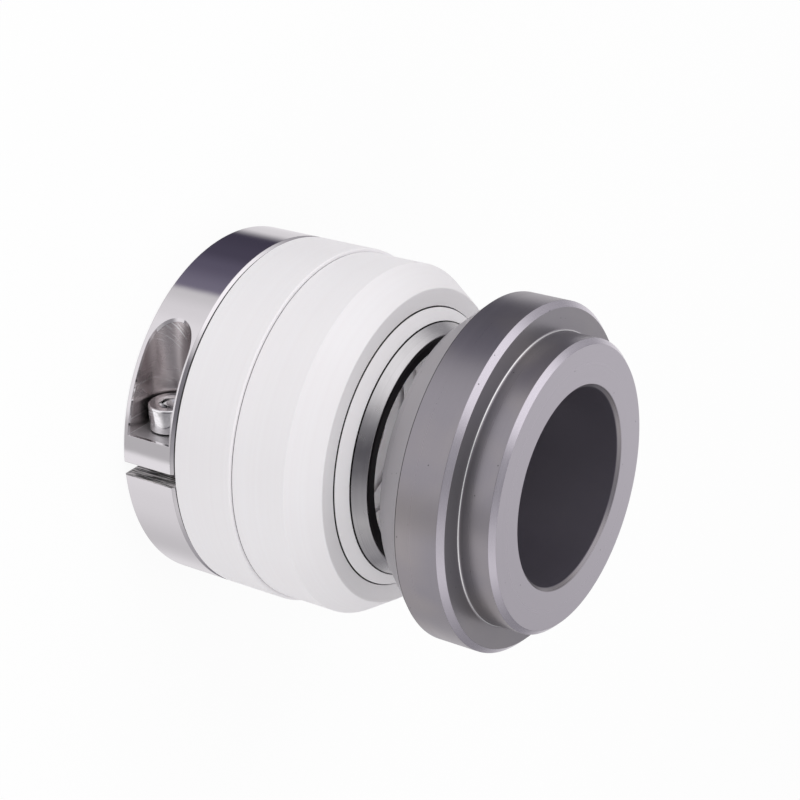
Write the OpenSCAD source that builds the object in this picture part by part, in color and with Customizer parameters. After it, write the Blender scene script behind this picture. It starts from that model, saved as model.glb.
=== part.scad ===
// Mechanical seal for a rotating shaft: a rotary head in PTFE and stainless steel,
// held by a split clamp ring, and the stationary seat that it runs against.
// The shaft axis is +Z. The origin is the centre of the clamp ring's back face.
// The split of the clamp ring is towards -Y and its screw lies along X.
// Radii are built up from the shaft outwards, heights from the clamp ring upwards.
// All sizes are in millimetres.

/* [Shaft] */
// Diameter of the shaft that the head is clamped on
shaft_d = 35; // [20:0.5:60]

/* [Clamp ring] */
// Width of the clamp ring along the shaft
clamp_w = 12.4; // [11.5:0.1:16]
// Thickness of the bellows tail that the ring squeezes on the shaft
tail_wall = 3.5; // [2:0.1:4.5]
// Bevel on the ring's front edge
clamp_bevel = 1.0; // [0.2:0.1:1.2]
// Bevel on the ring's back edge
clamp_back_bevel = 0.4; // [0.2:0.1:1]
// Width of the split through the ring
split_w = 2.75; // [1.5:0.05:4]
// Distance of the ledge under the screw head from the middle of the split
ledge_t = 6.8; // [5:0.1:9]
// Wall between the screw pocket and the ring's bore
pocket_wall = 1.2; // [0.8:0.1:2]
// Radius of the milled pocket's rounded bottom
pocket_r = 4.9; // [4.4:0.1:5.2]
// How far the pocket lies towards the back face from the ring's middle
pocket_shift = 0.1; // [0:0.1:0.5]

/* [Clamp screw] */
// Thread diameter of the socket head cap screw
screw_d = 5; // [4:0.5:6]
// Diameter of the screw head
screw_head_d = 8.5; // [7:0.1:8.6]
// Height of the screw head
screw_head_h = 5; // [4:0.1:6]
// Width across the flats of the hex socket
screw_hex = 4; // [3:0.5:5]
// Depth of the hex socket
screw_hex_depth = 2.6; // [2:0.1:3.5]
// Length of the screw under its head
screw_l = 16; // [12:1:18]
// Radial room of the screw in its clearance hole
screw_room = 0.25; // [0.1:0.05:0.5]

/* [Outer sleeve] */
// Length of the sleeve along the shaft
sleeve_l = 12.6; // [8:0.1:16]
// Thickness of the sleeve's wall
sleeve_wall = 2; // [1.2:0.1:3]
// Thickness of the sleeve's back wall
sleeve_floor = 1.6; // [1:0.1:2.5]
// Bevel on the sleeve's front rim
sleeve_bevel = 0.3; // [0.1:0.05:0.6]

/* [Head cover] */
// Step from the sleeve down to the head cover
cover_step = 0.7; // [0.3:0.05:1.5]
// Length of the head cover in front of the sleeve
cover_l = 17.5; // [15:0.1:24]
// Length of the big chamfer along the shaft
chamfer_l = 5.9; // [3:0.1:6]
// Width of the cover's flat front face
cover_land = 3.45; // [2.5:0.05:5]
// Thickness of the cover's front wall
cover_front_t = 6.1; // [5:0.1:8]
// Thickness of the cover's wall inside the sleeve
spigot_wall = 1.5; // [1:0.1:2.5]

/* [Floating face] */
// How far the carrier stands out of the cover's front
carrier_out = 1.8; // [1:0.1:3]
// Straight part of the carrier in front of the cover, below its slope
carrier_rim = 0.3; // [0.1:0.1:0.8]
// Radial thickness of the carrier round the face holder
carrier_wall = 2.25; // [1.5:0.05:3]
// Thickness of the flange that the springs push
flange_t = 2.6; // [2:0.1:3.5]
// How far the carbon face stands out of the cover's front
nose_out = 4.7; // [4:0.1:7]
// Radial room between the shaft and the black carbon face
face_room = 3.4; // [2.5:0.1:3.8]
// Radial width of the black carbon face
face_w = 1.7; // [1:0.1:2]
// Wall of the holder round the carbon ring at its tip
holder_tip = 0.35; // [0.2:0.05:0.5]
// How far the carbon ring stands out of its holder
carbon_out = 0.3; // [0.1:0.05:0.5]
// Depth that the carbon ring sits in its holder
insert_depth = 5; // [3:0.1:6]
// Width of the ledge that the carbon ring sits on, inside its bore
insert_ledge = 1.2; // [0.6:0.1:1.6]

/* [Bellows] */
// Number of folds in the bellows
folds = 5; // [3:1:6]
// Thickness of the folded wall
fold_wall = 0.9; // [0.6:0.05:1.1]
// Radial room between the shaft and the folds
fold_clear = 0.8; // [0.5:0.1:1.5]
// Radial depth of the folds
fold_depth = 5.1; // [4:0.1:7]
// Radial room between the folds and the rings round them
fold_room = 0.6; // [0.4:0.1:1]
// How far the bellows' front flange lies over the push ring
flange_lap = 0.6; // [0.4:0.1:1.2]
// Thickness of the bellows' front flange
bellows_flange_t = 2; // [1.2:0.1:3]

/* [Springs and pins] */
// Number of positions round the spring ring, every third one a pin
stations = 12; // [12]
// Outer diameter of one spring
spring_d = 5; // [4:0.1:6]
// Diameter of the spring wire
wire_d = 0.8; // [0.5:0.05:0.9]
// Number of turns of one spring
spring_turns = 6.5; // [5:0.5:8]
// Diameter of one drive pin
pin_d = 3; // [2:0.1:3.4]
// How far a drive pin reaches into the carrier's flange
pin_engage = 1.6; // [1:0.1:2.4]
// Wall between a pin's hole and the rim of its ring
pin_side = 0.85; // [0.5:0.05:2]
// Thickness of the ring that the springs stand on
spring_seat_t = 3.4; // [2.5:0.1:5]
// Thickness of the ring that the springs push
push_ring_t = 2.6; // [2.2:0.1:4]
// Depth of the pocket at each end of a spring
spring_pocket = 1.4; // [0.8:0.1:1.8]

/* [Stationary seat] */
// Gap between the carbon face and the seat as they stand in the set
seat_gap = 5.4; // [0.2:0.1:10]
// Radial room between the shaft and the seat's bore
seat_clear = 1.2; // [0.6:0.1:2]
// Thickness of the boss's wall
boss_wall = 9; // [6:0.1:12]
// Step from the boss out to the flange
flange_step = 5.5; // [3:0.1:7]
// Depth of the bevel on the flange's back
bevel_depth = 6; // [3:0.1:8]
// Length of the bevel along the shaft
bevel_l = 7.1; // [4:0.1:10]
// Length of the straight part of the flange with its front chamfer
seat_flange_l = 9.5; // [6:0.1:14]
// Length of the boss
seat_boss_l = 7; // [4:0.1:12]
// Chamfer on the flange's front edge
flange_chamfer = 1.1; // [0.4:0.1:1.5]
// Chamfer on the boss's front edge
boss_chamfer = 1.0; // [0.4:0.1:1.5]
// Rounding at the root of the boss
boss_root_r = 0.5; // [0.2:0.1:1]
// Chamfer at each end of the seat's bore
bore_chamfer = 0.7; // [0.3:0.1:1]

/* [Fits] */
// Gap between pieces that lie face to face along the shaft
face_gap = 0.1; // [0.05:0.05:0.2]
// Radial gap between pieces of one body
fit_gap = 0.1; // [0.05:0.05:0.2]
// Radial gap where one piece slides in another
slide_gap = 0.2; // [0.1:0.05:0.3]
// Radial gap round a piece that is pressed in
press_gap = 0.02; // [0.01:0.01:0.05]

/* [Hidden] */
$fn = 96;
round_fn = 120;
shaft_r = shaft_d / 2;

// Radii of the bellows and the clamp ring's bore
tail_r = shaft_r + tail_wall;
ring_bore_r = tail_r + fit_gap;
fold_in_r = shaft_r + fold_clear;
fold_r = fold_in_r + fold_depth;
fold_room_r = fold_r + fold_room;

// Radii of the floating face
holder_r = fold_room_r + flange_lap;
carrier_bore_r = holder_r + fit_gap;
carrier_r = carrier_bore_r + carrier_wall;
face_bore_r = shaft_r + face_room;
face_r = face_bore_r + face_w;
insert_bore_r = face_r + press_gap;
throat_r = face_bore_r - insert_ledge;

// Radii of the spring rings and the casing
pin_hole_r = pin_d / 2 + slide_gap;
pin_circle_r = carrier_r + pin_hole_r;
flange_r = pin_circle_r + pin_hole_r + pin_side;
spring_circle_r = (fold_room_r + flange_r) / 2;
spring_pocket_r = spring_d / 2 + slide_gap;
chamber_r = flange_r + slide_gap;
spigot_r = chamber_r + spigot_wall;
sleeve_bore_r = spigot_r + fit_gap;
casing_r = sleeve_bore_r + sleeve_wall;
cover_r = casing_r - cover_step;
cover_bore_r = carrier_r + slide_gap;
cover_face_r = cover_bore_r + cover_land;

// Heights of the casing, from the clamp ring's back face
sleeve_z = clamp_w + face_gap;
chamber_z = sleeve_z + sleeve_floor;
cover_z = chamber_z + face_gap;
sleeve_end = sleeve_z + sleeve_l;
cover_shoulder = sleeve_end + face_gap;
cover_end = sleeve_end + cover_l;
chamfer_z = cover_end - chamfer_l;
chamber_end = cover_end - cover_front_t;

// Heights of the floating face
carrier_end = cover_end + carrier_out;
nose_z = cover_end + nose_out;
insert_z = nose_z - insert_depth;
flange_end = chamber_end - face_gap;
flange_z = flange_end - flange_t;
push_end = flange_z - face_gap;
push_z = push_end - push_ring_t;
bellows_end = flange_z + bellows_flange_t;

// Heights of the folds
folds_z = cover_z + fold_wall + face_gap;
folds_end = flange_z;
fold_pitch = (folds_end - folds_z) / folds;

// Springs and pins
spring_foot = cover_z + spring_seat_t - spring_pocket;
spring_head = push_z + spring_pocket;
spring_stations = [for (i = [0 : stations - 1]) if (i % 3 != 0) i];
pin_stations = [for (i = [0 : stations - 1]) if (i % 3 == 0) i];
pin_z = cover_z + face_gap;
pin_end = flange_z + pin_engage;

// Clamp screw
screw_axis_r = ring_bore_r + pocket_wall + pocket_r;
pocket_z = clamp_w / 2 - pocket_shift;

// Stationary seat
seat_bore_r = shaft_r + seat_clear;
boss_r = seat_bore_r + boss_wall;
rim_r = boss_r + flange_step;
seat_back = nose_z + seat_gap;
rim_z = seat_back + bevel_l;
boss_z = rim_z + seat_flange_l;
seat_front = boss_z + seat_boss_l;

// Revolves a list of [radius, height] points round the shaft axis.
module turned(points) {
    rotate_extrude($fn = round_fn) polygon(points);
}

// Puts its children on the clamp screw's axis, t away from the split,
// with the local +Z towards the screw's head.
module on_screw(t) {
    translate([-t, -screw_axis_r, pocket_z]) rotate([0, -90, 0]) children();
}

// Puts its children at one of the stations, on the spring or the pin circle.
module at_station(i, circle_r) {
    rotate([0, 0, (i + 0.5) * 360 / stations]) translate([circle_r, 0, 0]) children();
}

// Clamp ring

module clamp_blank() {
    turned([
        [ring_bore_r, 0],
        [casing_r - clamp_back_bevel, 0],
        [casing_r, clamp_back_bevel],
        [casing_r, clamp_w - clamp_bevel],
        [casing_r - clamp_bevel, clamp_w],
        [ring_bore_r, clamp_w]
    ]);
}

// U-shaped pocket that is open to the outside and runs out of the ring's round.
module screw_pocket() {
    on_screw(ledge_t) {
        cylinder(r = pocket_r, h = casing_r);
        translate([-pocket_r, -casing_r, 0]) cube([2 * pocket_r, casing_r, casing_r]);
    }
}

module clamp_ring() {
    hole_end = ledge_t - screw_l - screw_d / 2;
    color("#c4c5ca") difference() {
        clamp_blank();
        translate([-split_w / 2, -casing_r - 1, -1]) cube([split_w, casing_r, clamp_w + 2]);
        screw_pocket();
        on_screw(0) cylinder(r = screw_d / 2 + screw_room, h = ledge_t + 1);
        on_screw(hole_end) cylinder(r = screw_d / 2 + press_gap, h = -hole_end);
    }
}

module clamp_screw() {
    head_r = screw_head_d / 2;
    edge = 0.4;
    color("#b9bac0") on_screw(ledge_t + face_gap) difference() {
        turned([
            [0, -screw_l],
            [screw_d / 2 - edge, -screw_l],
            [screw_d / 2, edge - screw_l],
            [screw_d / 2, 0],
            [head_r, 0],
            [head_r, screw_head_h - edge],
            [head_r - edge, screw_head_h],
            [0, screw_head_h]
        ]);
        translate([0, 0, screw_head_h - screw_hex_depth])
            cylinder(d = screw_hex / cos(30), h = screw_hex_depth + 1, $fn = 6);
    }
}

// Casing

module outer_sleeve() {
    color("#f2f1f2") turned([
        [ring_bore_r, sleeve_z],
        [casing_r, sleeve_z],
        [casing_r, sleeve_end - sleeve_bevel],
        [casing_r - sleeve_bevel, sleeve_end],
        [sleeve_bore_r, sleeve_end],
        [sleeve_bore_r, chamber_z],
        [ring_bore_r, chamber_z]
    ]);
}

module head_cover() {
    color("#efeef0") turned([
        [chamber_r, cover_z],
        [spigot_r, cover_z],
        [spigot_r, cover_shoulder],
        [cover_r, cover_shoulder],
        [cover_r, chamfer_z],
        [cover_face_r, cover_end],
        [cover_bore_r, cover_end],
        [cover_bore_r, chamber_end],
        [chamber_r, chamber_end]
    ]);
}

// Springs, pins and the two rings that hold them

// Plain ring with round pockets for the springs and holes for the pins.
// The pockets open upwards, or downwards where they face down.
module spring_ring(z, thick, hole_r, faces_down) {
    difference() {
        translate([0, 0, z]) cylinder(r = flange_r, h = thick, $fn = round_fn);
        translate([0, 0, z - 1]) cylinder(r = fold_room_r, h = thick + 2, $fn = round_fn);
        for (i = spring_stations) at_station(i, spring_circle_r)
            translate([0, 0, faces_down ? z - 1 : z + thick - spring_pocket])
                cylinder(r = spring_pocket_r, h = spring_pocket + 1);
        for (i = pin_stations) at_station(i, pin_circle_r)
            translate([0, 0, z - 1]) cylinder(r = hole_r, h = thick + 2);
    }
}

module spring_seat() {
    color("#aeb0b6") spring_ring(cover_z, spring_seat_t, pin_d / 2 + press_gap, false);
}

module push_ring() {
    color("#aeb0b6") spring_ring(push_z, push_ring_t, pin_hole_r, true);
}

module drive_pin(k) {
    edge = 0.3;
    color("#9fa1a8") at_station(pin_stations[k], pin_circle_r) turned([
        [0, pin_z],
        [pin_d / 2 - edge, pin_z],
        [pin_d / 2, pin_z + edge],
        [pin_d / 2, pin_end - edge],
        [pin_d / 2 - edge, pin_end],
        [0, pin_end]
    ]);
}

// The end turns of a spring lie closed on each other, with a hair between them.
closed_turn = 0.9;
closed_rise = closed_turn * wire_d * 1.05;
open_turns = spring_turns - 2 * closed_turn;
spring_low = spring_foot + face_gap + wire_d / 2;
spring_high = spring_head - face_gap - wire_d / 2;
open_rise = spring_high - spring_low - 2 * closed_rise;

// Height of the wire's middle after u turns.
function wire_z(u) = spring_low
    + min(u, closed_turn) / closed_turn * closed_rise
    + max(0, min(u - closed_turn, open_turns)) / open_turns * open_rise
    + max(0, u - closed_turn - open_turns) / closed_turn * closed_rise;

// One coil spring, with its wire swept as a six-sided section.
module coil_spring(k) {
    sides = 6;
    steps = 12;
    count = round(spring_turns * steps);
    coil_r = (spring_d - wire_d) / 2;
    points = [
        for (i = [0 : count]) for (j = [0 : sides - 1])
            let (turn = i * 360 / steps, side = j * 360 / sides)
            [
                (coil_r + wire_d / 2 * cos(side)) * cos(turn),
                (coil_r + wire_d / 2 * cos(side)) * sin(turn),
                wire_z(i / steps) + wire_d / 2 * sin(side)
            ]
    ];
    walls = [
        for (i = [0 : count - 1]) for (j = [0 : sides - 1])
            let (a = i * sides + j, b = i * sides + (j + 1) % sides)
            each [[a, a + sides, b], [b, a + sides, b + sides]]
    ];
    start_cap = [for (j = [0 : sides - 1]) j];
    end_cap = [for (j = [sides - 1 : -1 : 0]) count * sides + j];
    color("#c0c1c6") at_station(spring_stations[k], spring_circle_r)
        polyhedron(points, concat(walls, [start_cap, end_cap]));
}

// Bellows

// One groove of the folded wall, as a slot with a round bottom. It is cut from
// the outside when deep is the smaller radius and from the inside otherwise.
module fold_groove(z, deep, open, width) {
    round_at = deep < open ? deep + width / 2 : deep - width / 2;
    translate([round_at, z]) circle(d = width, $fn = 24);
    translate([min(round_at, open), z - width / 2]) square([abs(open - round_at), width]);
}

module bellows_profile() {
    groove = fold_pitch / 2 - fold_wall;
    difference() {
        union() {
            translate([shaft_r, face_gap]) square([tail_wall, folds_z - face_gap]);
            translate([fold_in_r, folds_z - fold_wall])
                square([fold_r - fold_in_r, folds_end - folds_z + fold_wall]);
            translate([fold_in_r, folds_end - 0.01])
                square([holder_r - fold_in_r, bellows_flange_t + 0.01]);
        }
        for (i = [0 : folds - 1]) {
            z = folds_z + (i + 0.25) * fold_pitch;
            fold_groove(z, fold_r - fold_wall, fold_in_r - 1, groove);
            fold_groove(z + fold_pitch / 2, fold_in_r + fold_wall, fold_r + 1, groove);
        }
    }
}

module bellows() {
    color("#f4f3f4") rotate_extrude($fn = round_fn) bellows_profile();
}

// Floating face

module face_carrier() {
    color("#f1f0f2") difference() {
        turned([
            [carrier_bore_r, flange_z],
            [flange_r, flange_z],
            [flange_r, flange_end],
            [carrier_r, flange_end],
            [carrier_r, cover_end + carrier_rim],
            [carrier_bore_r, carrier_end]
        ]);
        for (i = pin_stations) at_station(i, pin_circle_r)
            translate([0, 0, flange_z - 1]) cylinder(r = pin_hole_r, h = flange_t + 2);
    }
}

module face_holder() {
    color("#b4b5ba") turned([
        [throat_r, bellows_end + face_gap],
        [holder_r, bellows_end + face_gap],
        [holder_r, carrier_end],
        [insert_bore_r + holder_tip, nose_z - carbon_out],
        [insert_bore_r, nose_z - carbon_out],
        [insert_bore_r, insert_z],
        [throat_r, insert_z]
    ]);
}

module carbon_face() {
    edge = 0.1;
    foot = insert_z + face_gap / 2;
    color("#1c1b1d") turned([
        [face_bore_r, foot],
        [face_r, foot],
        [face_r, nose_z - edge],
        [face_r - edge, nose_z],
        [face_bore_r + edge, nose_z],
        [face_bore_r, nose_z - edge]
    ]);
}

// Stationary seat

module stationary_seat() {
    root = [for (a = [0 : 15 : 90])
        [boss_r + boss_root_r * (1 - sin(a)), boss_z + boss_root_r * (1 - cos(a))]];
    color("#8f8c92") turned(concat(
        [
            [seat_bore_r, seat_back + bore_chamfer],
            [seat_bore_r + bore_chamfer, seat_back],
            [rim_r - bevel_depth, seat_back],
            [rim_r, rim_z],
            [rim_r, boss_z - flange_chamfer],
            [rim_r - flange_chamfer, boss_z]
        ],
        root,
        [
            [boss_r, seat_front - boss_chamfer],
            [boss_r - boss_chamfer, seat_front],
            [seat_bore_r + bore_chamfer, seat_front],
            [seat_bore_r, seat_front - bore_chamfer]
        ]
    ));
}

clamp_ring();
clamp_screw();
outer_sleeve();
head_cover();
spring_seat();
drive_pin(0);  // drive_pin_1
drive_pin(1);  // drive_pin_2
drive_pin(2);  // drive_pin_3
drive_pin(3);  // drive_pin_4
coil_spring(0);  // spring_1
coil_spring(1);  // spring_2
coil_spring(2);  // spring_3
coil_spring(3);  // spring_4
coil_spring(4);  // spring_5
coil_spring(5);  // spring_6
coil_spring(6);  // spring_7
coil_spring(7);  // spring_8
bellows();
push_ring();
face_carrier();
face_holder();
carbon_face();
stationary_seat();
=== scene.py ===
import math

import bpy
from mathutils import Matrix, Vector


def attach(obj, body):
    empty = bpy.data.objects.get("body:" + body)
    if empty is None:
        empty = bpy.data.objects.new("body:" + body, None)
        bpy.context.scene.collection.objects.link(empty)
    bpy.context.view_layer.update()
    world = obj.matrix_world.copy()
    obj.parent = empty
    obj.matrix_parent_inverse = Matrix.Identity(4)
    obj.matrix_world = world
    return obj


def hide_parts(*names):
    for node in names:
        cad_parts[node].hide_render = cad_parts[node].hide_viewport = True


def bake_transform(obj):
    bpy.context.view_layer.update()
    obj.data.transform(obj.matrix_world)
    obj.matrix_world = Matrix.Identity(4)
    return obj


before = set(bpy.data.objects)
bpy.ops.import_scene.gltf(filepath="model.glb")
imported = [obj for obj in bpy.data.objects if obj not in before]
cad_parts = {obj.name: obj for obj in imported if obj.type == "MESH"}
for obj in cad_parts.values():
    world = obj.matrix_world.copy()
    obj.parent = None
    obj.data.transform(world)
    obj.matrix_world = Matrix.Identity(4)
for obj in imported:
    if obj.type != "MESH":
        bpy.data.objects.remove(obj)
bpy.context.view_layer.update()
scene = bpy.context.scene

# A mechanical seal: a rotary head in PTFE and stainless steel, held on its shaft by
# a split clamp ring, and the silicon carbide seat that its carbon face runs against.
# The shaft axis is +Z and the origin is the centre of the clamp ring's back face.
# Sizes are in millimetres, as in the part's source, and MM turns them into metres.
MM = 0.001

# Sizes
# Clamp ring, its split and the pocket of its screw
CLAMP_W = 12.4
CLAMP_BEVEL = 1.0
CASING_R = 35.0
RING_BORE_R = 21.1
SPLIT_W = 2.75
LEDGE_T = 6.8
POCKET_R = 4.9
SCREW_AXIS_R = 27.2
POCKET_Z = 6.1
# Painted shade in a seam between two pieces: half its width, and how deep it is painted
SEAM_SHADE, SEAM_SHADE_DEPTH = 0.03, 9.0
# Clamp screw
SCREW_R = 2.5
SCREW_L = 16.0
THREAD_PITCH, THREAD_DEPTH, THREAD_FLANK, THREAD_CREST = 0.8, 0.42, 2.6, 0.15
THREAD_LEAD, THREAD_RUNOUT, NECK_L, THREAD_STEP = 0.6, 0.5, 0.8, 0.1
THREAD_PLAY = 0.02
HEAD_R = 4.25
HEAD_H = 5.0
HEAD_GAP = 0.1
HEX_APOTHEM, HEX_DEPTH, HEX_FOOT = 2.0, 2.6, 0.3
COUNTERSINK_R, COUNTERSINK_H = 2.8, 0.25
DRILL_R, DRILL_POINT = 1.5, 0.5
# Casing
SLEEVE_Z, SLEEVE_END = 12.5, 25.1
SLEEVE_BORE_R, CHAMBER_Z = 33.0, 14.1
COVER_Z, COVER_SHOULDER, CHAMFER_Z, COVER_END = 14.2, 25.2, 36.7, 42.6
COVER_R, COVER_FACE_R, COVER_BORE_R = 34.3, 30.6, 27.15
SPIGOT_R, CHAMBER_R, CHAMBER_END = 32.9, 31.4, 36.5
# Bellows
SHAFT_R, TAIL_R, TAIL_Z = 17.5, 21.0, 0.1
FOLD_IN_R, FOLD_R, FOLD_WALL = 18.3, 23.4, 0.9
FOLDS, FOLDS_Z, FOLDS_END = 5, 15.2, 33.8
FOLD_PITCH = (FOLDS_END - FOLDS_Z) / FOLDS
MOUTH_FILLET, ROOT_FILLET = 0.4, 0.46
BELLOWS_END = 35.8
# Floating face
CARRIER_R = 26.95
HOLDER_R, THROAT_R, HOLDER_Z = 24.6, 19.7, 35.9
INSERT_R, INSERT_Z, HOLDER_TIP_R = 22.62, 42.3, 22.97
CARRIER_END, TIP_Z = 44.4, 47.0
CARBON_IN_R, CARBON_R, CARBON_Z, NOSE_Z = 20.9, 22.6, 42.35, 47.3
# Springs
SPRING_CIRCLE_R, SPRING_R, WIRE_R = 27.6, 2.5, 0.4
SPRING_TURNS, CLOSED_TURN, CLOSED_RISE = 6.5, 0.9, 1.05
SPRING_FOOT, SPRING_HEAD, GROUND_OFF = 16.3, 32.4, 0.12
# Of the stations round the spring ring, every third one holds a pin
STATIONS = 12
# Stationary seat
SEAT_BORE_R, BOSS_R, RIM_R, BACK_R = 18.7, 27.7, 33.2, 27.2
SEAT_BACK, RIM_Z, BOSS_Z, SEAT_FRONT = 52.7, 59.8, 69.3, 76.3
FLANGE_CHAMFER, BOSS_CHAMFER, BOSS_ROOT, BORE_CHAMFER = 1.1, 1.0, 0.5, 0.7
# Tints, as factors on a grey
STEEL_TINT = (1.0, 0.985, 1.0)
SCREW_TINT = (1.0, 0.985, 0.99)
POCKET_TINT = (1.02, 0.955, 0.96)
SAWN_HIGHLIGHT_TINT = (1.0, 0.95, 0.97)
PTFE_TINT = (1.0, 0.975, 1.0)
PTFE_DARK_TINT = (1.0, 0.97, 0.995)
PTFE_LIGHT_TINT = (1.0, 0.98, 1.005)
CARBON_TINT = (1.1, 0.85, 1.1)
SEAT_TINT = (1.0, 0.955, 1.045)
SEAT_WARM_TINT = (1.04, 0.97, 0.97)
SEAT_BACK_TINT = (1.0, 0.965, 1.01)
SEAT_BORE_TINT = (1.0, 0.91, 1.13)


# Meshes
def mesh_object(name, verts, faces, normals=None):
    """A smooth mesh from points in millimetres, in the row frame."""
    mesh = bpy.data.meshes.new(name)
    mesh.from_pydata([[c * MM for c in v] for v in verts], [], faces)
    mesh.polygons.foreach_set("use_smooth", [True] * len(mesh.polygons))
    mesh.update()
    if normals:
        mesh.normals_split_custom_set_from_vertices(normals)
    obj = bpy.data.objects.new(name, mesh)
    scene.collection.objects.link(obj)
    return obj


def rounded(corners, step=18):
    """A closed profile of (radius, height, fillet) corners, counter-clockwise, as a list
    of (radius, height, normal radius, normal height). Each corner is an arc, in steps of
    about step degrees."""
    points = []
    for i, (r, z, fillet) in enumerate(corners):
        before, after = corners[i - 1], corners[(i + 1) % len(corners)]
        d1 = Vector((r - before[0], z - before[1]))
        d2 = Vector((after[0] - r, after[1] - z))
        fillet = min(fillet, 0.49 * min(d1.length, d2.length))
        d1.normalize()
        d2.normalize()
        turn = math.atan2(d1.x * d2.y - d1.y * d2.x, d1.dot(d2))
        side = 1 if turn > 0 else -1
        start = Vector((r, z)) - d1 * fillet * math.tan(abs(turn) / 2)
        centre = start + Vector((-d1.y, d1.x)) * fillet * side
        count = max(2, math.ceil(math.degrees(abs(turn)) / step))
        for k in range(count + 1):
            a = turn * k / count
            n = Vector((d1.y * math.cos(a) + d1.x * math.sin(a),
                        -d1.x * math.cos(a) + d1.y * math.sin(a)))
            p = centre + n * fillet * side
            points.append((p.x, p.y, n.x, n.y))
    return points


def turned(name, corners, segments=192):
    """A closed profile revolved round the shaft axis, with exact normals."""
    profile = rounded(corners)
    count = len(profile)
    verts, normals, faces = [], [], []
    for s in range(segments):
        c, d = math.cos(2 * math.pi * s / segments), math.sin(2 * math.pi * s / segments)
        for r, z, nr, nz in profile:
            verts.append((r * c, r * d, z))
            normals.append((nr * c, nr * d, nz))
        a, b = s * count, (s + 1) % segments * count
        for k in range(count):
            m = (k + 1) % count
            faces.append((a + k, b + k, b + m, a + m))
    return mesh_object(name, verts, faces, normals)


def lofted(name, loops, sharp_angle):
    """Closed loops of equally many points joined in order, and closed at both ends."""
    count = len(loops[0])
    verts = [p for loop in loops for p in loop]
    faces = [(i * count + k, i * count + (k + 1) % count,
              (i + 1) * count + (k + 1) % count, (i + 1) * count + k)
             for i in range(len(loops) - 1) for k in range(count)]
    faces.append(tuple(reversed(range(count))))
    faces.append(tuple(range((len(loops) - 1) * count, len(loops) * count)))
    obj = mesh_object(name, verts, faces)
    obj.data.set_sharp_from_angle(angle=math.radians(sharp_angle))
    return obj


# Paint
class Nodes:
    """Short calls that add nodes to a tree."""

    def __init__(self, tree):
        self.tree = tree

    def feed(self, socket, value):
        if isinstance(value, bpy.types.NodeSocket):
            self.tree.links.new(value, socket)
        elif value is not None:
            socket.default_value = value

    def node(self, kind, *values, **settings):
        made = self.tree.nodes.new("ShaderNode" + kind)
        for key, value in settings.items():
            setattr(made, key, value)
        for socket, value in zip(made.inputs, values):
            self.feed(socket, value)
        return made

    def calc(self, operation, a, b=None):
        return self.node("Math", a, b, operation=operation).outputs[0]

    def ease(self, value, start, end, low=0.0, high=1.0):
        """From low to high, with a smooth step as value goes from start to end."""
        return self.node("MapRange", value, start, end, low, high,
                         interpolation_type="SMOOTHSTEP").outputs[0]

    def mix(self, factor, a, b):
        """The colour a where the factor is 0, and b where it is 1."""
        made = self.node("Mix", data_type="RGBA")
        # Sockets 6 and 7 are the two colours
        for socket, value in ((0, factor), (6, a), (7, b)):
            self.feed(made.inputs[socket], value)
        return made.outputs[2]


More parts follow.
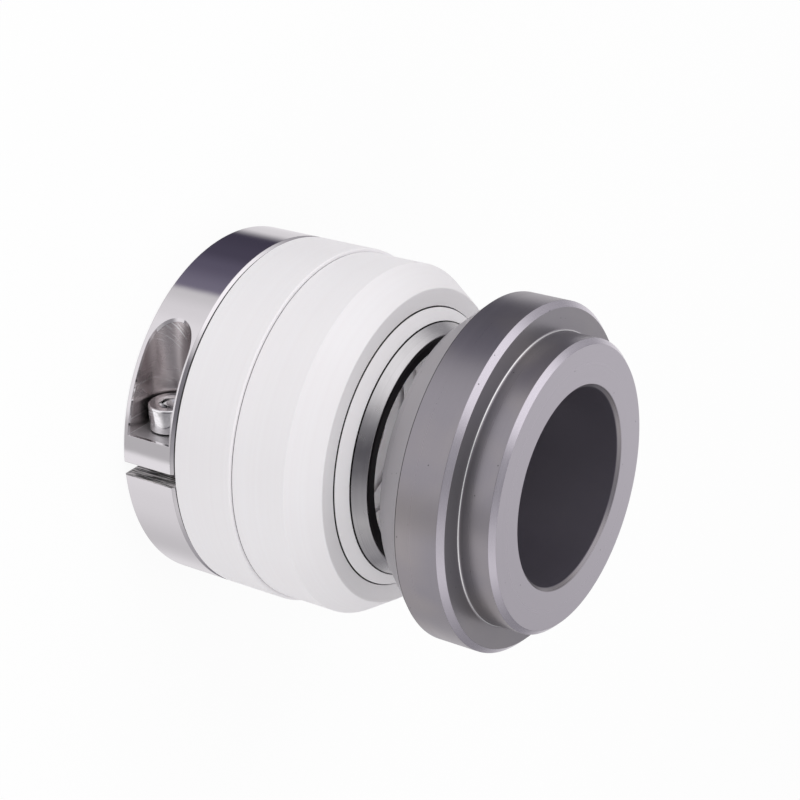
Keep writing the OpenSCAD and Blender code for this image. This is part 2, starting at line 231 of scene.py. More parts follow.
class Paint(Nodes):
    """One node material round a Principled shader."""

    def __init__(self, name, colour, metallic=0.0, roughness=0.5):
        self.material = bpy.data.materials.new(name)
        self.material.use_nodes = True
        super().__init__(self.material.node_tree)
        self.shader = self.tree.nodes["Principled BSDF"]
        self.material.diffuse_color = (*colour, 1)
        self.set("Base Color", (*colour, 1))
        self.set("Metallic", metallic)
        self.set("Roughness", roughness)
        self.place = self.node("TexCoord").outputs["Object"]
        split = self.node("SeparateXYZ", self.place)
        self.x, self.y, self.z = split.outputs
        self.r = self.calc("POWER", self.calc(
            "ADD", self.calc("MULTIPLY", self.x, self.x), self.calc("MULTIPLY", self.y, self.y)), 0.5)

    def set(self, socket, value):
        self.feed(self.shader.inputs[socket], value)

    def between(self, value, low, high, soft=0.03):
        """1 where value lies between low and high, in millimetres, with soft edges."""
        up = self.node("MapRange", value, (low - soft) * MM, (low + soft) * MM, 0.0, 1.0)
        down = self.node("MapRange", value, (high - soft) * MM, (high + soft) * MM, 1.0, 0.0)
        return self.calc("MULTIPLY", up.outputs[0], down.outputs[0])

    def both(self, *masks):
        """1 only where each of the masks is 1."""
        made = masks[0]
        for mask in masks[1:]:
            made = self.calc("MULTIPLY", made, mask)
        return made

    def spread(self, value, low, high, start=0.0, end=1.0):
        """value between start and end, spread over low to high."""
        return self.node("MapRange", value, start, end, low, high).outputs[0]

    def vector(self, x, y, z):
        return self.node("CombineXYZ", x, y, z).outputs[0]

    def noise(self, vector, scale, detail=3.0, roughness=0.5):
        """Noise with scale features a millimetre."""
        made = self.node("TexNoise")
        self.feed(made.inputs["Vector"], vector)
        self.feed(made.inputs["Scale"], scale / MM)
        self.feed(made.inputs["Detail"], detail)
        self.feed(made.inputs["Roughness"], roughness)
        return made.outputs[0]

    def specks(self, spacing, radius):
        """1 inside small round pores, one to each cell of spacing millimetres."""
        made = self.node("TexVoronoi")
        self.feed(made.inputs["Vector"], self.place)
        self.feed(made.inputs["Scale"], 1 / (spacing * MM))
        reach = radius / spacing
        return self.node("MapRange", made.outputs["Distance"], reach * 0.7, reach, 1.0, 0.0).outputs[0]

    def rings(self, scale, waver=0.006, detail=4.0):
        """Turning marks: noise that changes with radius and height, and hardly round the axis."""
        round_x = self.calc("MULTIPLY", self.x, waver)
        round_y = self.calc("MULTIPLY", self.y, waver)
        across = self.vector(self.calc("ADD", self.r, round_x), self.z, round_y)
        return self.noise(across, scale, detail)

    def colour(self):
        """What feeds the base colour so far."""
        return self.shader.inputs["Base Color"].links[0].from_socket

    def paint_seam_shade(self, level, zones):
        """Painted shade in seams: the base colour falls to level on walls inside (r, r, z, z) zones."""
        mask = None
        for r0, r1, z0, z1 in zones:
            zone = self.both(self.between(self.r, r0, r1, 0.01), self.between(self.z, z0, z1, 0.01))
            mask = zone if mask is None else self.calc("MAXIMUM", mask, zone)
        self.set("Base Color", self.mix(mask, self.colour(), rgba(level)))

    def bump(self, height, depth, normal=None):
        """Bump of a height between 0 and 1 that stands for depth millimetres."""
        made = self.node("Bump")
        self.feed(made.inputs["Height"], height)
        self.feed(made.inputs["Distance"], depth * MM)
        self.feed(made.inputs["Strength"], 1.0)
        if normal is not None:
            self.feed(made.inputs["Normal"], normal)
        return made.outputs[0]

    def soft_edges(self, radius):
        """A normal that rounds the edges of a CAD solid by radius millimetres."""
        return self.node("Bevel", radius * MM, samples=4).outputs[0]


def grey(level, tint=(1.0, 1.0, 1.0)):
    return tuple(level * t for t in tint)


def rgba(level, tint=(1.0, 1.0, 1.0)):
    return (*grey(level, tint), 1.0)


# Finishes
def polished_steel():
    """The clamp ring: mirror polish outside, a milled pocket and a sawn split."""
    p = Paint("polished_steel", grey(0.76, STEEL_TINT), metallic=1.0)
    inner = p.between(p.r, RING_BORE_R + 0.3, CASING_R - 0.6)
    in_ring = p.between(p.z, 0.6, CLAMP_W - CLAMP_BEVEL - 0.05)
    by_pocket = p.between(p.y, -CASING_R, -SCREW_AXIS_R + POCKET_R + 4)
    pocket = p.both(inner, in_ring, by_pocket, p.between(p.x, -CASING_R - 5, -LEDGE_T + 0.15))
    ledge = p.both(pocket, p.between(p.x, -LEDGE_T - 0.1, 0))
    wall = p.calc("SUBTRACT", pocket, ledge)
    split = p.both(p.between(p.x, -SPLIT_W / 2 - 0.04, SPLIT_W / 2 + 0.04, 0.02),
                   p.between(p.y, -CASING_R - 1, 0))
    # Milling marks run round the pocket's wall, with finer scratches across them
    marks = p.noise(p.vector(p.x, p.calc("MULTIPLY", p.y, 0.05), p.calc("MULTIPLY", p.z, 0.05)),
                    2.6, 4.0, 0.7)
    slant = p.calc("SUBTRACT", p.calc("MULTIPLY", p.x, 0.75), p.calc("MULTIPLY", p.z, 0.65))
    along = p.calc("ADD", p.calc("MULTIPLY", p.x, 0.65), p.calc("MULTIPLY", p.z, 0.75))
    scratches = p.spread(p.noise(p.vector(slant, p.calc("MULTIPLY", along, 0.06), 0.0), 2.2, 2.0),
                         0.0, 1.0, 0.6, 0.68)
    # The slitting saw leaves ridges along the ring's width
    ridges = p.spread(p.noise(p.vector(p.y, 0.0, p.calc("MULTIPLY", p.z, 0.05)), 2.2, 3.0, 0.7),
                      0.0, 1.0, 0.45, 0.55)
    haze = p.noise(p.place, 0.08, 3.0)
    swell = p.noise(p.place, 0.35, 1.0)
    rings = p.rings(3.0)
    rough = p.spread(haze, 0.05, 0.10, 0.35, 0.7)
    rough = p.calc("ADD", rough, p.calc("MULTIPLY", pocket, 0.20))
    rough = p.calc("ADD", rough, p.calc("MULTIPLY", ledge, 0.25))
    rough = p.calc("ADD", rough, p.calc("MULTIPLY", split, 0.24))
    p.set("Roughness", rough)
    colour = p.mix(wall, rgba(0.76, STEEL_TINT),
                   p.mix(scratches, rgba(0.62, POCKET_TINT), rgba(0.85)))
    # The split's face is painted white on its ridges and near-black between them: painted highlight and
    # painted shade
    colour = p.mix(split, colour, p.mix(ridges, rgba(0.02), rgba(1.0, SAWN_HIGHLIGHT_TINT)))
    p.set("Metallic", p.spread(split, 1.0, 0.0))
    # The front bevel is painted brighter than the rest of the ring: a painted highlight
    bevel_highlight = p.both(p.between(p.z, CLAMP_W - CLAMP_BEVEL + 0.04, CLAMP_W - 0.04),
                   p.between(p.r, CASING_R - CLAMP_BEVEL, CASING_R))
    p.set("Base Color", p.mix(bevel_highlight, colour, rgba(0.96, STEEL_TINT)))
    # Painted shade in the seam between the ring and the sleeve
    p.paint_seam_shade(0.1, [(CASING_R - CLAMP_BEVEL - 0.1, CASING_R - 0.48, CLAMP_W - 0.56, CLAMP_W + 0.1)])
    height = p.calc("ADD", p.calc("MULTIPLY", rings, 0.0012), p.calc("MULTIPLY", swell, 0.004))
    height = p.calc("ADD", height, p.calc("MULTIPLY", p.both(wall, marks), 0.035))
    height = p.calc("ADD", height, p.calc("MULTIPLY", p.both(wall, scratches), -0.01))
    height = p.calc("ADD", height, p.calc("MULTIPLY", p.both(split, ridges), 0.16))
    p.set("Normal", p.bump(height, 1.0, p.soft_edges(0.12)))
    return p.material


def ptfe(name, level=0.88, subsurface=0.12):
    """Machined PTFE: waxy white with faint turning marks."""
    p = Paint(name, grey(level, PTFE_TINT), roughness=0.42)
    rings = p.rings(1.6)
    fine = p.rings(7.0)
    cloud = p.noise(p.place, 0.05, 2.0)
    tone = p.calc("ADD", p.calc("MULTIPLY", rings, 0.5), p.calc("MULTIPLY", cloud, 0.5))
    p.set("Base Color", p.mix(p.spread(tone, 0.0, 1.0, 0.35, 0.65),
                              rgba(level - 0.012, PTFE_DARK_TINT),
                              rgba(level + 0.008, PTFE_LIGHT_TINT)))
    p.set("Roughness", p.spread(fine, 0.36, 0.5, 0.3, 0.7))
    # Painted shade in the seams: between the holder and the carrier, between the carrier and the cover, and
    # on the sleeve's back face by the clamp ring
    p.paint_seam_shade(0.02, [
        (HOLDER_R + 0.05, HOLDER_R + 0.15, CARRIER_END - SEAM_SHADE_DEPTH, CARRIER_END - 0.12),
        (CARRIER_R - SEAM_SHADE, CARRIER_R + SEAM_SHADE, CHAMBER_END, COVER_END + 0.12),
        (RING_BORE_R, CASING_R - 0.8, SLEEVE_Z - SEAM_SHADE, SLEEVE_Z + SEAM_SHADE),
    ])
    # Lighter painted shade in the seam between the sleeve and the cover
    p.paint_seam_shade(0.3, [(SLEEVE_BORE_R, COVER_R - 0.06, SLEEVE_END - SEAM_SHADE, COVER_SHOULDER + SEAM_SHADE)])
    p.set("Subsurface Weight", subsurface)
    p.set("Subsurface Scale", 0.6 * MM)
    p.set("Subsurface Radius", (1.0, 0.95, 0.9))
    p.set("Normal", p.bump(p.calc("ADD", rings, fine), 0.0025))
    return p.material


def turned_steel(name, level, roughness, edges=None):
    """Steel with turning marks round the shaft. edges is the rounding of a CAD solid's edges."""
    p = Paint(name, grey(level, STEEL_TINT), metallic=1.0)
    rings = p.rings(5.0)
    fine = p.rings(11.0)
    cloud = p.noise(p.place, 0.35, 3.0)
    p.set("Base Color", p.mix(p.spread(rings, 0.0, 1.0, 0.3, 0.7), rgba(level * 0.95), rgba(level * 1.04)))
    p.set("Roughness", p.spread(cloud, roughness - 0.06, roughness + 0.08, 0.35, 0.7))
    p.set("Anisotropic", 0.4)
    p.set("Tangent", p.node("Tangent", direction_type="RADIAL", axis="Z").outputs[0])
    # Painted shade in the seam between the holder and the carrier
    p.paint_seam_shade(0.03, [(HOLDER_R - 0.15, HOLDER_R + 0.1, CARRIER_END - SEAM_SHADE_DEPTH, CARRIER_END + 0.22)])
    p.set("Normal", p.bump(p.calc("ADD", rings, fine), 0.0012, p.soft_edges(edges) if edges else None))
    return p.material


def bright_steel(name, level, roughness, shadow_x=None):
    """Bright steel of screws and springs, with a light grain. Its last argument is the x of a dark line of
    painted shadow under a screw's head.
    """
    p = Paint(name, grey(level, SCREW_TINT), metallic=1.0)
    grain = p.noise(p.place, 2.0, 4.0)
    p.set("Base Color", p.mix(p.spread(grain, 0.0, 1.0, 0.3, 0.7), rgba(level * 0.9), rgba(level * 1.06)))
    if shadow_x is not None:
        # A dark line of painted shadow under the screw's head, where it meets the ledge
        shade_line = p.between(p.x, shadow_x - 0.22, shadow_x + 0.05)
        p.set("Base Color", p.mix(shade_line, p.colour(), rgba(0.02)))
    p.set("Roughness", p.spread(grain, roughness - 0.05, roughness + 0.06, 0.3, 0.7))
    p.set("Normal", p.bump(grain, 0.001))
    return p.material


def carbon():
    """Resin-bonded carbon, lapped flat on its face."""
    p = Paint("carbon", grey(0.006), roughness=0.45)
    p.set("Specular IOR Level", 0.15)
    grain = p.noise(p.place, 6.0, 3.0)
    lapped = p.between(p.z, NOSE_Z - 0.05, NOSE_Z + 1)
    p.set("Base Color", p.mix(p.spread(grain, 0.0, 1.0, 0.45, 0.75),
                              rgba(0.004, CARBON_TINT), rgba(0.009, CARBON_TINT)))
    p.set("Roughness", p.calc("SUBTRACT", p.spread(grain, 0.38, 0.5, 0.3, 0.7),
                              p.calc("MULTIPLY", lapped, 0.12)))
    p.set("Normal", p.bump(p.rings(8.0), 0.004))
    return p.material


def silicon_carbide():
    """Sintered silicon carbide: ground grey with a faint violet cast, with painted highlights on its cut
    edges, painted shade on its step and in its bore, and painted light on its back bevel.
    """
    p = Paint("silicon_carbide", grey(0.30, SEAT_TINT), metallic=0.8)
    rings = p.rings(3.0, waver=0.001)
    grain = p.noise(p.place, 9.0, 2.0)
    cloud = p.noise(p.place, 0.07, 2.0)
    tone = p.calc("ADD", p.calc("MULTIPLY", rings, 0.4), p.calc("MULTIPLY", grain, 0.6))
    body = p.mix(p.spread(tone, 0.0, 1.0, 0.35, 0.65), rgba(0.30, SEAT_TINT), rgba(0.325, SEAT_TINT))
    body = p.mix(p.spread(cloud, 0.0, 0.8, 0.4, 0.7), body, rgba(0.37, SEAT_WARM_TINT))
    # The chamfers are painted brighter: a painted highlight
    flange_edge = p.both(p.between(p.z, BOSS_Z - FLANGE_CHAMFER + 0.02, BOSS_Z - 0.02),
                         p.between(p.r, RIM_R - FLANGE_CHAMFER, RIM_R))
    boss_edge = p.both(p.between(p.z, SEAT_FRONT - BOSS_CHAMFER + 0.02, SEAT_FRONT - 0.02),
                       p.between(p.r, BOSS_R - BOSS_CHAMFER, BOSS_R))
    edges = p.calc("MAXIMUM", flange_edge, boss_edge)
    # A painted highlight in a bright line round the boss's root, and painted shade in a dark line at the
    # bevel's edge
    root_highlight = p.both(p.between(p.z, BOSS_Z - 0.02, BOSS_Z + 0.2, 0.01),
                  p.between(p.r, BOSS_R, BOSS_R + 0.26, 0.01))
    shade_line = p.both(p.between(p.z, RIM_Z - 0.06, RIM_Z + 0.1, 0.01),
                  p.between(p.r, RIM_R - 1, RIM_R + 1))
    face = p.between(p.z, SEAT_FRONT - 0.05, SEAT_FRONT + 1)
    # The bore and the step are painted darker: painted shade
    bore = p.between(p.r, 0, SEAT_BORE_R + 0.1)
    step = p.both(p.between(p.z, BOSS_Z - 0.02, BOSS_Z + 0.02),
                  p.between(p.r, BOSS_R + 0.4, RIM_R - FLANGE_CHAMFER))
    # The back bevel is painted lighter: painted light
    back_bevel_light = p.between(p.z, SEAT_BACK + 0.1, RIM_Z - 0.1)
    for mask, paint in (
        (step, rgba(0.18, SEAT_TINT)),
        (back_bevel_light, rgba(0.47, SEAT_BACK_TINT)),
        (face, rgba(0.41, SEAT_TINT)),
        (edges, rgba(0.72, SEAT_TINT)),
        (root_highlight, rgba(0.95)),
        (shade_line, rgba(0.05)),
        (p.specks(2.6, 0.14), rgba(0.1, SEAT_TINT)),
        (bore, rgba(0.105, SEAT_BORE_TINT)),
    ):
        body = p.mix(mask, body, paint)
    p.set("Base Color", body)
    # The ground faces shine, and the step and the bore are duller; their darker colour is painted shade
    dull = p.calc("MAXIMUM", bore, p.calc("MULTIPLY", step, 0.6))
    p.set("Metallic", p.spread(dull, 0.8, 0.4))
    rough = p.spread(rings, 0.27, 0.33, 0.3, 0.7)
    rough = p.calc("SUBTRACT", rough, p.calc("MULTIPLY", p.calc("MAXIMUM", edges, root_highlight), 0.1))
    p.set("Roughness", p.calc("ADD", rough, p.calc("MULTIPLY", bore, 0.12)))
    marks = p.calc("ADD", rings, p.calc("MULTIPLY", grain, 0.4))
    p.set("Normal", p.bump(p.calc("MULTIPLY", marks, p.spread(bore, 1.0, 0.15)), 0.001))
    return p.material


# Pieces
PTFE = ptfe("machined_ptfe")
# The bellows' PTFE is painted lighter than the rest, as painted light on folds that lie in shade
BELLOWS_PTFE = ptfe("bellows_ptfe", level=0.96, subsurface=0.4)
HOLDER_STEEL = turned_steel("turned_holder_steel", level=0.7, roughness=0.2)
RING_STEEL = turned_steel("turned_ring_steel", level=0.55, roughness=0.3, edges=0.15)
SCREW_STEEL = bright_steel("screw_steel", level=0.94, roughness=0.09, shadow_x=-LEDGE_T - HEAD_GAP)
SPRING_STEEL = bright_steel("spring_steel", level=0.62, roughness=0.2)


def finish_piece(piece, material, node, body):
    """Gives a piece that stands for a CAD node its material and its body."""
    piece.data.materials.append(material)
    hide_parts(node)
    if body:
        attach(piece, body)
    return piece


# Casing
finish_piece(turned("sleeve", [
    (RING_BORE_R, SLEEVE_Z, 0.15),
    (CASING_R, SLEEVE_Z, 0.12),
    (CASING_R, SLEEVE_END, 0.3),
    (SLEEVE_BORE_R, SLEEVE_END, 0.1),
    (SLEEVE_BORE_R, CHAMBER_Z, 0.1),
    (RING_BORE_R, CHAMBER_Z, 0.1),
]), PTFE, "outer_sleeve", "drive_unit")

finish_piece(turned("cover", [
    (CHAMBER_R, COVER_Z, 0.15),
    (SPIGOT_R, COVER_Z, 0.15),
    (SPIGOT_R, COVER_SHOULDER, 0.1),
    (COVER_R, COVER_SHOULDER, 0.12),
    (COVER_R, CHAMFER_Z, 0.35),
    (COVER_FACE_R, COVER_END, 0.35),
    (COVER_BORE_R, COVER_END, 0.12),
    (COVER_BORE_R, CHAMBER_END, 0.12),
    (CHAMBER_R, CHAMBER_END, 0.3),
]), PTFE, "head_cover", "drive_unit")


# Bellows: a tail under the clamp ring, five folds and a flange on the face holder
def fold_corners(height, mouth_r, root_r, up):
    """The four corners of one fold's groove, from its mouth to its root and back."""
    half = FOLD_PITCH / 4 - FOLD_WALL / 2
    first, last = (height - half, height + half) if up else (height + half, height - half)
    return [
        (mouth_r, first, MOUTH_FILLET),
        (root_r, first, ROOT_FILLET),
        (root_r, last, ROOT_FILLET),
        (mouth_r, last, MOUTH_FILLET),
    ]


outside = [corner for i in range(FOLDS)
           for corner in fold_corners(FOLDS_Z + (i + 0.75) * FOLD_PITCH,
                                      FOLD_R, FOLD_IN_R + FOLD_WALL, True)]
inside = [corner for i in reversed(range(FOLDS))
          for corner in fold_corners(FOLDS_Z + (i + 0.25) * FOLD_PITCH,
                                     FOLD_IN_R, FOLD_R - FOLD_WALL, False)]
bellows = finish_piece(turned("bellows_piece", [
    (SHAFT_R, TAIL_Z, 0.3),
    (TAIL_R, TAIL_Z, 0.3),
    (TAIL_R, FOLDS_Z - FOLD_WALL, 0.2),
    (FOLD_R, FOLDS_Z - FOLD_WALL, MOUTH_FILLET),
    *outside,
    (FOLD_R, FOLDS_END, 0.1),
    (HOLDER_R, FOLDS_END, 0.1),
    (HOLDER_R, BELLOWS_END, 0.1),
    (FOLD_IN_R, BELLOWS_END, 0.3),
    *inside,
    (FOLD_IN_R, FOLDS_Z, 0.2),
    (SHAFT_R, FOLDS_Z, 0.3),
], segments=144), BELLOWS_PTFE, "bellows", None)
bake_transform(bellows)

# Floating face
finish_piece(turned("holder", [
    (THROAT_R, HOLDER_Z, 0.2),
    (HOLDER_R, HOLDER_Z, 0.1),
    (HOLDER_R, CARRIER_END, 0.12),
    (HOLDER_TIP_R, TIP_Z, 0.12),
    (INSERT_R, TIP_Z, 0.08),
    (INSERT_R, INSERT_Z, 0.05),
    (THROAT_R, INSERT_Z, 0.2),
]), HOLDER_STEEL, "face_holder", "face_unit")

finish_piece(turned("carbon_ring", [
    (CARBON_IN_R, CARBON_Z, 0.1),
    (CARBON_R, CARBON_Z, 0.1),
    (CARBON_R, NOSE_Z, 0.08),
    (CARBON_IN_R, NOSE_Z, 0.08),
]), carbon(), "carbon_face", "face_unit")

# Stationary seat
finish_piece(turned("seat_ring", [
    (SEAT_BORE_R, SEAT_BACK + BORE_CHAMFER, 0.1),
    (SEAT_BORE_R + BORE_CHAMFER, SEAT_BACK, 0.1),
    (BACK_R, SEAT_BACK, 0.2),
    (RIM_R, RIM_Z, 0.12),
    (RIM_R, BOSS_Z - FLANGE_CHAMFER, 0.1),
    (RIM_R - FLANGE_CHAMFER, BOSS_Z, 0.1),
    (BOSS_R, BOSS_Z, BOSS_ROOT),
    (BOSS_R, SEAT_FRONT - BOSS_CHAMFER, 0.1),
    (BOSS_R - BOSS_CHAMFER, SEAT_FRONT, 0.1),
    (SEAT_BORE_R + BORE_CHAMFER, SEAT_FRONT, 0.1),
    (SEAT_BORE_R, SEAT_FRONT - BORE_CHAMFER, 0.1),
]), silicon_carbide(), "stationary_seat", "seat")


# Springs: round wire with closed and ground ends
def wire_height(u):
    """Height of the wire's middle after u turns."""
    closed_rise = CLOSED_TURN * 2 * WIRE_R * CLOSED_RISE
    open_turns = SPRING_TURNS - 2 * CLOSED_TURN
    low, high = SPRING_FOOT + WIRE_R, SPRING_HEAD - WIRE_R
    open_rise = high - low - 2 * closed_rise
    return (low + min(u, CLOSED_TURN) / CLOSED_TURN * closed_rise
            + max(0, min(u - CLOSED_TURN, open_turns)) / open_turns * open_rise
            + max(0, u - CLOSED_TURN - open_turns) / CLOSED_TURN * closed_rise)


def coil(name, angle, steps=28, sides=12):
    """One spring at an angle round the shaft, with steps loops a turn."""
    coil_r = SPRING_R - WIRE_R
    turn = Matrix.Rotation(math.radians(angle), 3, "Z")
    loops = []
    for i in range(round(SPRING_TURNS * steps) + 1):
        a = 2 * math.pi * i / steps
        loop = []
        for j in range(sides):
            # Backwards round the wire, so that its faces point outwards
            b = -2 * math.pi * j / sides
            r = coil_r + WIRE_R * math.cos(b)
            z = wire_height(i / steps) + WIRE_R * math.sin(b)
            z = min(max(z, SPRING_FOOT + GROUND_OFF), SPRING_HEAD - GROUND_OFF)
            loop.append(turn @ Vector((SPRING_CIRCLE_R + r * math.cos(a), r * math.sin(a), z)))
        loops.append(loop)
    return lofted(name, loops, sharp_angle=50)


spring_stations = [i for i in range(STATIONS) if i % 3]
for k, station in enumerate(spring_stations):
    spring = finish_piece(coil(f"coil_{k + 1}", (station + 0.5) * 360 / STATIONS),
                          SPRING_STEEL, f"spring_{k + 1}", None)
    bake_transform(spring)


# Clamp screw: socket head, rolled thread
SCREW_SEAT_X = -(LEDGE_T + HEAD_GAP)


def screw_loop(radius, height, count=72):
    """Points round the screw's own axis. radius is a number or a function of the angle."""
    loop = []
    for k in range(count):
        a = 2 * math.pi * k / count
        r = radius(a) if callable(radius) else radius
        # The screw's axis is -X in the row frame, from its tip to its head
        loop.append((SCREW_SEAT_X - height, -SCREW_AXIS_R + r * math.sin(a), POCKET_Z + r * math.cos(a)))
    return loop


def hexagon(apothem):
    """Radius of a hexagon, as a function of the angle."""
    return lambda a: apothem / math.cos((a + math.pi / 6) % (math.pi / 3) - math.pi / 6)


def thread(height):
    """Radius of the thread at a height, as a function of the angle."""
    lead, runout = (height + SCREW_L) / THREAD_LEAD, max(0, -NECK_L - height) / THREAD_RUNOUT
    depth = THREAD_DEPTH * min(1, lead, runout)

    def radius(a):
        phase = (height / THREAD_PITCH - a / (2 * math.pi)) % 1
        flank = abs(phase - 0.5) * THREAD_FLANK - THREAD_CREST
        return SCREW_R - THREAD_PLAY - depth * min(1, max(0, flank))
    return radius


screw_loops = []
for i in range(round(SCREW_L / THREAD_STEP) + 1):
    height = -SCREW_L + THREAD_STEP * i
    screw_loops.append(screw_loop(thread(height), height))
socket_top, socket_end = HEAD_H - COUNTERSINK_H, HEAD_H - HEX_DEPTH
head = rounded([
    (0.5, 0, 0.01),
    (HEAD_R, 0, 0.15),
    (HEAD_R, HEAD_H, 0.45),
    (COUNTERSINK_R, HEAD_H, 0.08),
    (HEX_APOTHEM, socket_top, 0.01),
])
# The first and the last corner only close the outline, and give no loops
screw_loops += [screw_loop(r, z) for r, z, *_ in head if r > COUNTERSINK_R - 0.1]
for z in (socket_top, socket_top - 0.02, socket_end + HEX_FOOT):
    screw_loops.append(screw_loop(hexagon(HEX_APOTHEM), z))
screw_loops.append(screw_loop(DRILL_R, socket_end))
screw_loops.append(screw_loop(0.1, socket_end - DRILL_POINT))
finish_piece(lofted("socket_screw", screw_loops, sharp_angle=32),
             SCREW_STEEL, "clamp_screw", "drive_unit")

# CAD nodes that keep their shape
CARRIED = {
    "clamp_ring": polished_steel(),
    "face_carrier": PTFE,
    "spring_seat": RING_STEEL,
    "push_ring": RING_STEEL,
    **{f"drive_pin_{k}": RING_STEEL for k in range(1, 5)},
}
for node, material in CARRIED.items():
    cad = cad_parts[node]
    for slot in cad.material_slots:
        slot.material = material

# Camera
# The photograph shows the shaft axis lying, so the camera looks down on the upright part
# and is rolled: its up points across the axis. The place is in metres.
CAMERA_PLACE = (-0.17077, -0.28218, 0.23096)
CAMERA_BACK = (-0.42863, -0.74744, 0.50755)
CAMERA_UP = (-0.90303, 0.37220, -0.21450)
LENS, SENSOR_W = 90, 36

camera_data = bpy.data.cameras.new("camera")
camera_data.lens = LENS
camera_data.sensor_width = SENSOR_W
camera = bpy.data.objects.new("camera", camera_data)
scene.collection.objects.link(camera)
back = Vector(CAMERA_BACK).normalized()
up = Vector(CAMERA_UP)
right = up.cross(back).normalized()
up = back.cross(right)
turn = Matrix((right, up, back)).transposed().to_4x4()
camera.matrix_world = Matrix.Translation(CAMERA_PLACE) @ turn
scene.camera = camera

# Light
scene.view_settings.view_transform = "Standard"

# Even light on dull surfaces, a little stronger from below, as from a white floor
AMBIENT, AMBIENT_BELOW, AMBIENT_SPAN = 0.64, 0.92, (-0.5, 0.2)
# The studio that the metal mirrors, as brightness by compass direction in degrees:
# below the horizon a broad dark card on one side, above it one softbox and a dark room,
# and higher up a white ceiling with a dark panel on one side.
STUDIO_START = 50
STUDIO_BELOW = [
    (50, 0.72), (70, 0.82), (96, 0.78), (113, 0.06), (138, 0.075), (153, 0.12), (173, 0.2), (179, 0.7),
    (192, 0.84), (204, 0.93), (262, 0.97), (275, 0.58), (290, 0.56), (294, 0.97), (325, 0.84), (365, 0.66),
    (392, 0.8), (410, 0.72),
]
STUDIO_ABOVE = [
    (50, 0.7), (63, 1.0), (78, 0.75), (100, 0.3), (116, 0.35), (146, 0.9), (165, 1.0), (186, 1.0),
    (207, 0.78), (229, 0.3), (248, 0.09), (268, 0.12), (300, 0.36), (322, 0.5), (350, 0.36), (372, 0.2),
    (396, 0.22), (410, 0.7),
]
STUDIO_HIGH = [
    (50, 0.75), (63, 1.0), (100, 0.9), (150, 1.0), (192, 0.95), (208, 0.6), (226, 0.2), (262, 0.16),
    (286, 0.3), (304, 0.5), (335, 0.72), (365, 0.85), (410, 0.75),
]
STUDIO_POLES = (0.66, 0.65, 0.67, 1)
# Heights between which one part of the studio becomes the next, from -1 below to 1 above
HORIZON_SPAN, CEILING_SPAN, POLE_SPAN = (-0.42, 0.1), (0.45, 0.72), (0.88, 0.99)
# How violet the dark parts are
CAST_BELOW, CAST_ABOVE = 0.42, 0.1


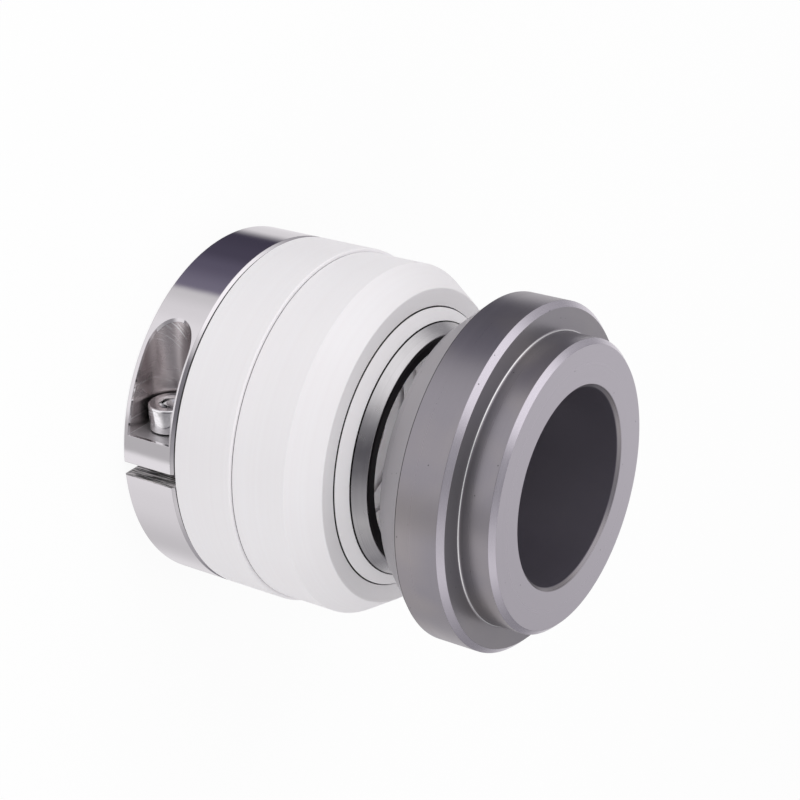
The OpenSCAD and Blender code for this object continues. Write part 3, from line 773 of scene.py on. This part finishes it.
def build_world():
    """The surroundings: white to the camera, the studio in mirrors, even light for the rest."""
    world = bpy.data.worlds.new("studio")
    scene.world = world
    world.use_nodes = True
    w = Nodes(world.node_tree)
    w.tree.nodes.clear()
    x, y, z = w.node("SeparateXYZ", w.node("TexCoord").outputs["Generated"]).outputs
    turns = w.calc("DIVIDE", w.calc("ARCTAN2", y, x), 2 * math.pi)
    compass = w.calc("FRACT", w.calc("ADD", turns, 1 - STUDIO_START / 360))

    def ramp(stops, cast):
        """Brightness round the compass, with a violet cast in its dark parts."""
        made = w.node("ValToRGB", compass)
        made.color_ramp.interpolation = "EASE"
        elements = made.color_ramp.elements
        while len(elements) < len(stops):
            elements.new(0.5)
        for element, (angle, level) in zip(elements, stops):
            element.position = (angle - STUDIO_START) / 360
            dark = 1 - min(1, level * 2.2)
            element.color = (level, level * (0.97 - 0.25 * cast * dark), level * (1 + cast * dark), 1)
        return made.outputs[0]

    studio = w.mix(w.ease(z, *HORIZON_SPAN), ramp(STUDIO_BELOW, CAST_BELOW), ramp(STUDIO_ABOVE, CAST_ABOVE))
    studio = w.mix(w.ease(z, *CEILING_SPAN), studio, ramp(STUDIO_HIGH, CAST_ABOVE))
    # Straight up and straight down the studio is even
    studio = w.mix(w.ease(w.calc("ABSOLUTE", z), *POLE_SPAN), studio, STUDIO_POLES)
    rays = w.node("LightPath").outputs
    mirrored = w.calc("MAXIMUM", rays["Is Glossy Ray"], rays["Is Transmission Ray"])
    colour = w.mix(mirrored, w.ease(z, *AMBIENT_SPAN, AMBIENT_BELOW, AMBIENT), studio)
    colour = w.mix(rays["Is Camera Ray"], colour, (1, 1, 1, 1))
    w.node("OutputWorld", w.node("Background", colour).outputs[0])


build_world()

# Lamps stand this far from the point that they shine on, both in metres
LAMP_DISTANCE = 0.9
LAMP_TARGET = Vector((0, 0, 38 * MM))


def softbox(name, towards, power, size):
    """An area lamp that shines on the part from a direction. Its size is in metres."""
    data = bpy.data.lights.new(name, "AREA")
    data.energy, data.size = power, size
    lamp = bpy.data.objects.new(name, data)
    scene.collection.objects.link(lamp)
    towards = Vector(towards).normalized()
    lamp.location = LAMP_TARGET + towards * LAMP_DISTANCE
    lamp.rotation_mode = "QUATERNION"
    lamp.rotation_quaternion = towards.to_track_quat("Z", "Y")
    lamp.visible_glossy = False
    lamp.visible_camera = False


softbox("key", (-0.80, 0.02, 0.60), 2.9, 0.7)
softbox("fill", back * 0.8 - up * 0.75 + right * 0.1, 2.1, 0.9)

# Floor: white to the camera, and it keeps part of the object's shadow. Its sizes are in metres.
FLOOR_R, FLOOR_Z = 3, -0.0002


def floor_paint():
    """Glows white to the camera, is lit as paper for the rest, and is clear from below."""
    p = Paint("floor_paint", grey(0.95), roughness=0.9)
    paper = p.shader.outputs[0]
    glow = p.node("Emission", (1, 1, 1, 1), 1.0).outputs[0]
    seen = p.node("MixShader", 0.92, paper, glow).outputs[0]
    shown = p.node("MixShader", p.node("LightPath").outputs["Is Camera Ray"], paper, seen).outputs[0]
    # Clear from below, so that the back face can be looked at
    clear = p.node("BsdfTransparent").outputs[0]
    sides = p.node("MixShader", p.node("NewGeometry").outputs["Backfacing"], shown, clear).outputs[0]
    p.feed(p.tree.nodes["Material Output"].inputs[0], sides)
    return p.material


bpy.ops.mesh.primitive_circle_add(vertices=64, radius=FLOOR_R, fill_type="NGON", location=(0, 0, FLOOR_Z))
floor = bpy.context.object
floor.name = "floor"
floor.visible_glossy = False
floor.visible_diffuse = False
floor.data.materials.append(floor_paint())
